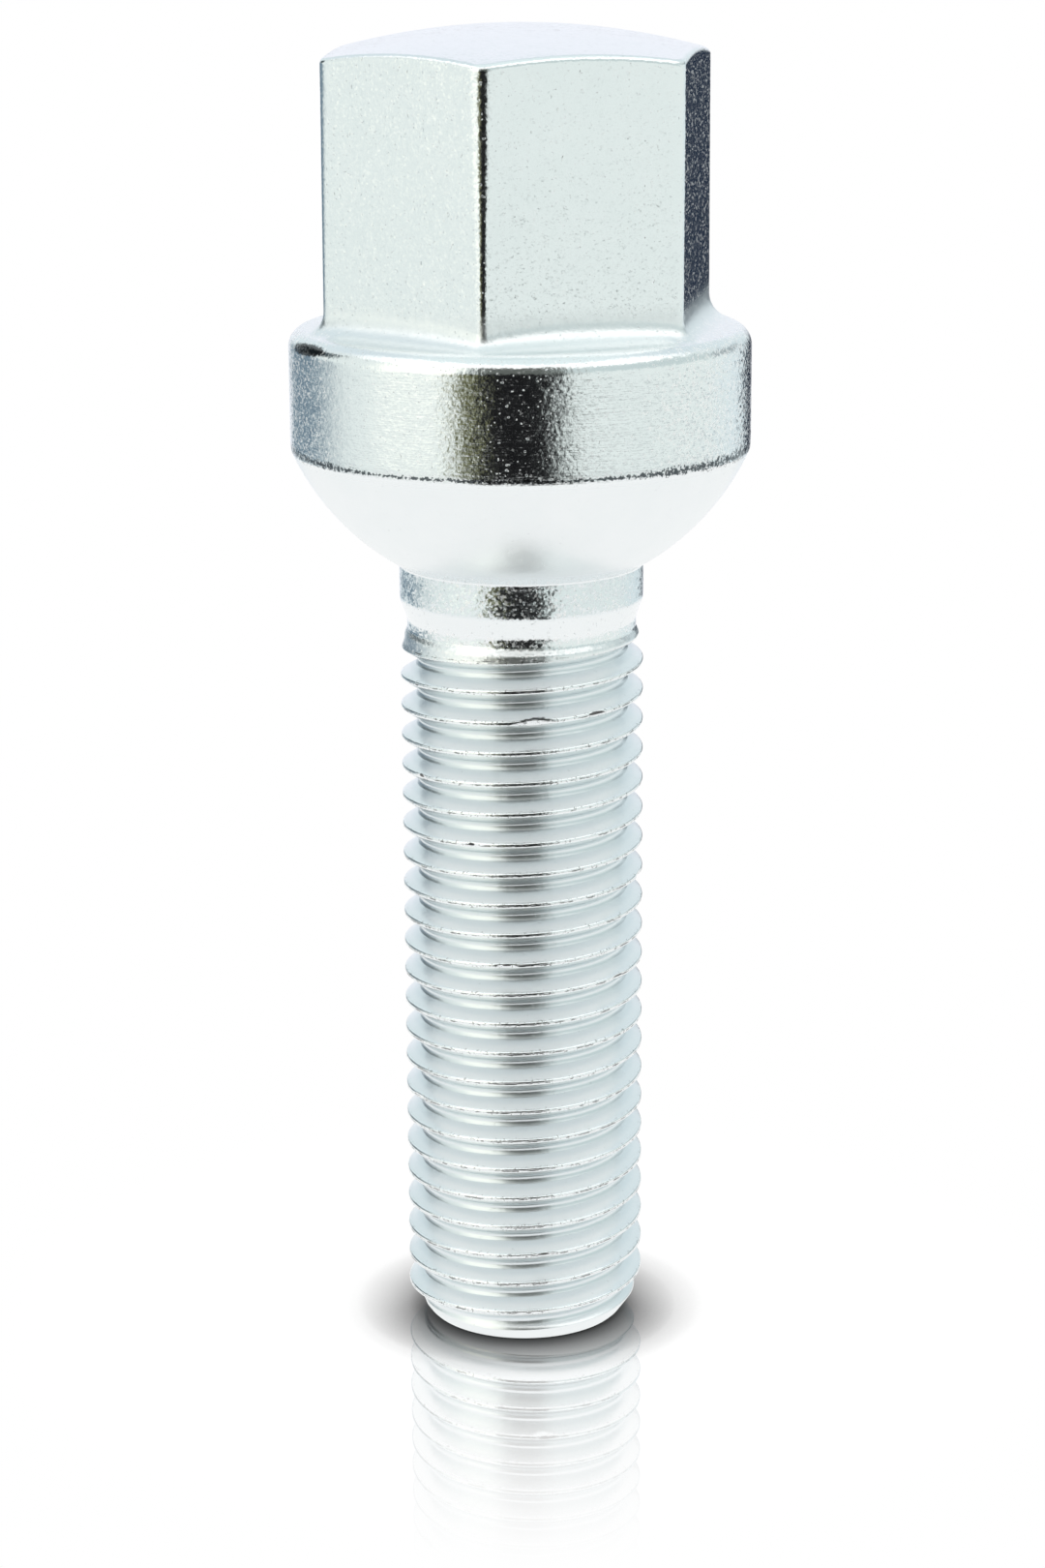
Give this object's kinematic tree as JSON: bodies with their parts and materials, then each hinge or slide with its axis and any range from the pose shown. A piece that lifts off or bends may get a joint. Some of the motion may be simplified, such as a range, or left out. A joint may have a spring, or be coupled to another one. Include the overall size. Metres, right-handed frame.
{
  "type": "wheel bolt",
  "caption": "Metric fine-thread wheel bolt with a domed hexagon head, a round collar, a ball seat and a plain land above the thread.",
  "frame": {"origin": "centre of the flat thread end that the bolt stands on", "axes": "+Z along the bolt's axis, from the thread end up to the domed head; +X across two opposite flats of the hexagon, +Y across two opposite corners"},
  "size_m": [0.022, 0.022, 0.0639],
  "materials": {
    "plated_steel": "bright zinc-plated steel, fine satin grain, turned lines on the collar"
  },
  "bodies": {
    "root": {"wheel_bolt": "plated_steel"}
  },
  "joints": []
}
